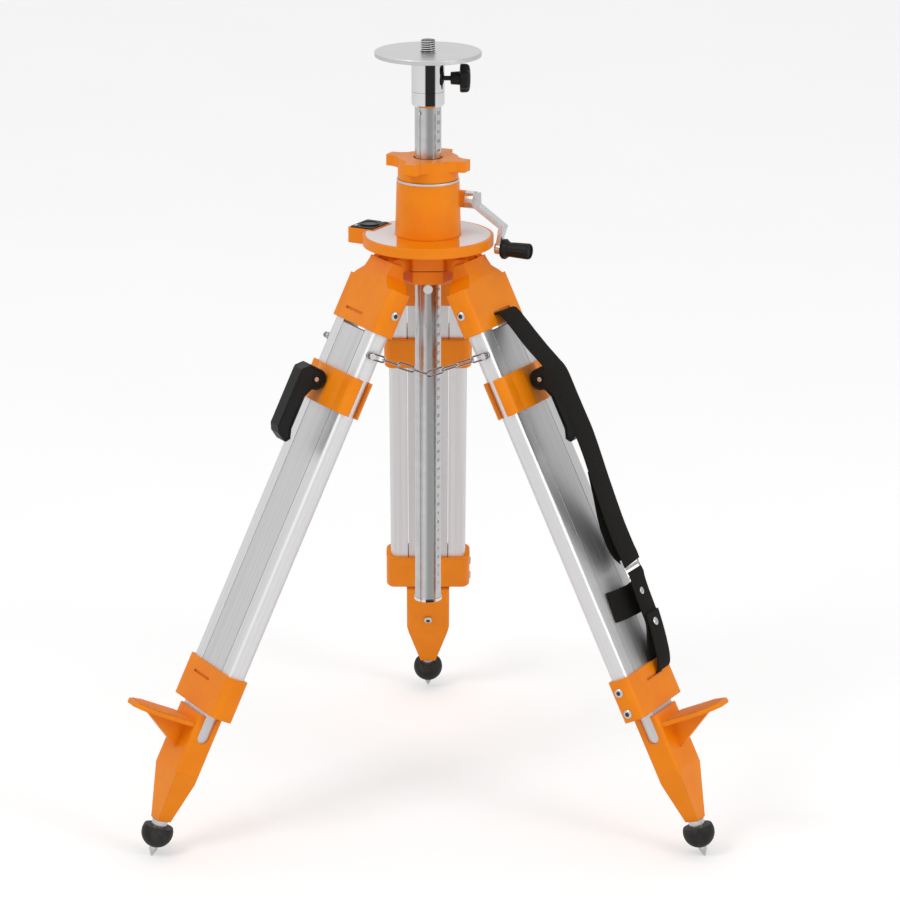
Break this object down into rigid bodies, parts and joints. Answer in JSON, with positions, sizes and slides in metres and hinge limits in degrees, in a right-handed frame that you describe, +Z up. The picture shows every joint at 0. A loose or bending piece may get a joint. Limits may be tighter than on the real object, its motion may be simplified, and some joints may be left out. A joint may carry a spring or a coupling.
{
  "type": "laser level tripod",
  "caption": "Elevating instrument tripod with folding, extending legs, a crank-raised column and a threaded head for a laser level.",
  "frame": {"origin": "centre of the instrument plate's top face, on the column's axis", "axes": "+Z up the column, +X towards the head's lock knob, +Y towards the rear leg"},
  "size_m": [0.6318, 0.55, 0.8471],
  "materials": {
    "orange_paint": "semi-gloss powder coat on die-cast aluminium",
    "satin_aluminium": "satin anodised extrusion",
    "column_aluminium": "bright drawn and anodised tube with a printed scale",
    "grey_profile": "grey anodised extrusion",
    "chrome": "bright plating",
    "polished_casting": "tumbled zinc casting, plated",
    "plated_steel": "zinc or nickel plated fasteners and chain",
    "dark_steel": "turned and cut steel, oiled",
    "black_plastic": "moulded, fine spark-eroded grain",
    "black_rubber": "moulded rubber cup",
    "nylon": "turned nylon",
    "grey_sheet": "light grey laminated sheet",
    "webbing": "woven polyester webbing",
    "vial_glass": "green-filled circular vial"
  },
  "bodies": {
    "head_frame": {"platform": "orange_paint", "platform_sheet": "grey_sheet", "guide_cap": "orange_paint", "platform_fasteners": "plated_steel", "level_plate": "black_plastic", "level_vial": "vial_glass", "gear_housing": "orange_paint", "shaft_and_column_bushes": "nylon", "nut_washer_ring": "satin_aluminium", "column_collet": "nylon"},
    "column": {"column_tube": "column_aluminium", "column_rack": "dark_steel", "column_fittings": "chrome"},
    "instrument_head": {"instrument_plate": "satin_aluminium", "instrument_stud": "plated_steel", "head_sleeve": "chrome"},
    "lock_knob": {"head_lock_knob": "black_plastic"},
    "star_nut": {"column_star_nut": "orange_paint"},
    "crank": {"pinion_shaft": "dark_steel", "crank_arm": "polished_casting"},
    "grip": {"crank_grip": "black_plastic"},
    "left_leg_upper": {"left_hinge_bracket": "orange_paint", "left_leg_rails": "satin_aluminium", "left_lower_collar": "orange_paint", "left_leg_screws": "plated_steel"},
    "left_leg_lower": {"left_centre_profile": "grey_profile", "left_clamp_jaws": "orange_paint", "left_lower_bolts": "plated_steel", "left_foot": "orange_paint", "left_spike": "dark_steel", "left_rubber_cup": "black_rubber"},
    "left_lever": {"left_clamp_lever": "black_plastic"},
    "left_chains": {"left_chain": "plated_steel"},
    "right_leg_upper": {"right_hinge_bracket": "orange_paint", "right_leg_rails": "satin_aluminium", "right_lower_collar": "orange_paint", "right_leg_screws": "plated_steel", "strap_webbing": "webbing", "strap_hardware": "plated_steel", "tie_band": "webbing"},
    "right_leg_lower": {"right_centre_profile": "grey_profile", "right_clamp_jaws": "orange_paint", "right_lower_bolts": "plated_steel", "right_foot": "orange_paint", "right_spike": "dark_steel", "right_rubber_cup": "black_rubber"},
    "right_lever": {"right_clamp_lever": "black_plastic"},
    "right_chains": {"right_chain": "plated_steel"},
    "rear_leg_upper": {"rear_hinge_bracket": "orange_paint", "rear_leg_rails": "satin_aluminium", "rear_lower_collar": "orange_paint", "rear_leg_screws": "plated_steel"},
    "rear_leg_lower": {"rear_centre_profile": "grey_profile", "rear_clamp_jaws": "orange_paint", "rear_lower_bolts": "plated_steel", "rear_foot": "orange_paint", "rear_spike": "dark_steel", "rear_rubber_cup": "black_rubber"},
    "rear_lever": {"rear_clamp_lever": "black_plastic"},
    "rear_chains": {"rear_chain": "plated_steel"}
  },
  "joints": [
    {"name": "column_slide", "type": "slide", "parent": "head_frame", "child": "column", "axis": [0, 0, 1], "range_m": [-0.046, 0.34]},
    {"name": "head_turn", "type": "hinge", "parent": "column", "child": "instrument_head", "pos_m": [0, 0, 0], "axis": [0, 0, 1], "continuous": true},
    {"name": "lock_knob_turn", "type": "hinge", "parent": "instrument_head", "child": "lock_knob", "pos_m": [0, 0, -0.0286], "axis": [1, 0, 0], "range_deg": [-30, 360]},
    {"name": "star_nut_turn", "type": "hinge", "parent": "head_frame", "child": "star_nut", "pos_m": [0, 0, -0.1347], "axis": [0, 0, 1], "range_deg": [-10, 120]},
    {"name": "crank_turn", "type": "hinge", "parent": "head_frame", "child": "crank", "pos_m": [0.00807, 0.01731, -0.1585], "axis": [0.9063, -0.4226, 0], "range_deg": [-2600, 410]},
    {"name": "grip_spin", "type": "hinge", "parent": "crank", "child": "grip", "pos_m": [0.00807, 0.01731, -0.208], "axis": [0.9063, -0.4226, 0], "continuous": true},
    {"name": "left_fold", "type": "hinge", "parent": "head_frame", "child": "left_leg_upper", "pos_m": [-0.042, -0.02425, -0.223], "axis": [0.5, -0.866, 0], "range_deg": [-3, 25], "deforming": ["left_chain", "right_chain", "rear_chain"]},
    {"name": "left_extend", "type": "slide", "parent": "left_leg_upper", "child": "left_leg_lower", "axis": [-0.3871, -0.2235, -0.8945], "range_m": [0, 0.26]},
    {"name": "left_lever_open", "type": "hinge", "parent": "left_leg_lower", "child": "left_lever", "pos_m": [-0.12099, -0.06985, -0.33393], "axis": [-0.5, 0.866, 0], "range_deg": [0, 85]},
    {"name": "left_chain_swing", "type": "hinge", "parent": "left_leg_upper", "child": "left_chains", "pos_m": [-0.08327, -0.04808, -0.30494], "axis": [0.5, -0.866, 0], "range_deg": [-75, 9]},
    {"name": "right_fold", "type": "hinge", "parent": "head_frame", "child": "right_leg_upper", "pos_m": [0.042, -0.02425, -0.223], "axis": [0.5, 0.866, 0], "range_deg": [-3, 25], "deforming": ["left_chain", "right_chain", "rear_chain"]},
    {"name": "right_extend", "type": "slide", "parent": "right_leg_upper", "child": "right_leg_lower", "axis": [0.3871, -0.2235, -0.8945], "range_m": [0, 0.26], "deforming": ["tie_band"]},
    {"name": "right_lever_open", "type": "hinge", "parent": "right_leg_lower", "child": "right_lever", "pos_m": [0.12099, -0.06985, -0.33393], "axis": [-0.5, -0.866, 0], "range_deg": [0, 85]},
    {"name": "right_chain_swing", "type": "hinge", "parent": "right_leg_upper", "child": "right_chains", "pos_m": [0.08327, -0.04808, -0.30494], "axis": [0.5, 0.866, 0], "range_deg": [-75, 9]},
    {"name": "rear_fold", "type": "hinge", "parent": "head_frame", "child": "rear_leg_upper", "pos_m": [0, 0.0485, -0.223], "axis": [-1, 0, 0], "range_deg": [-3, 25], "deforming": ["left_chain", "right_chain", "rear_chain"]},
    {"name": "rear_extend", "type": "slide", "parent": "rear_leg_upper", "child": "rear_leg_lower", "axis": [0, 0.447, -0.8945], "range_m": [0, 0.26]},
    {"name": "rear_lever_open", "type": "hinge", "parent": "rear_leg_lower", "child": "rear_lever", "pos_m": [0, 0.1397, -0.33393], "axis": [1, 0, 0], "range_deg": [0, 85]},
    {"name": "rear_chain_swing", "type": "hinge", "parent": "rear_leg_upper", "child": "rear_chains", "pos_m": [0, 0.09615, -0.30494], "axis": [-1, 0, 0], "range_deg": [-75, 9]}
  ],
  "couplings": [
    {"joint": "crank_turn", "follows": "column_slide", "rad_per_m": -133.33},
    {"joint": "left_chain_swing", "follows": "left_fold", "ratio": -2.94},
    {"joint": "right_chain_swing", "follows": "right_fold", "ratio": -2.94},
    {"joint": "rear_chain_swing", "follows": "rear_fold", "ratio": -2.94}
  ]
}
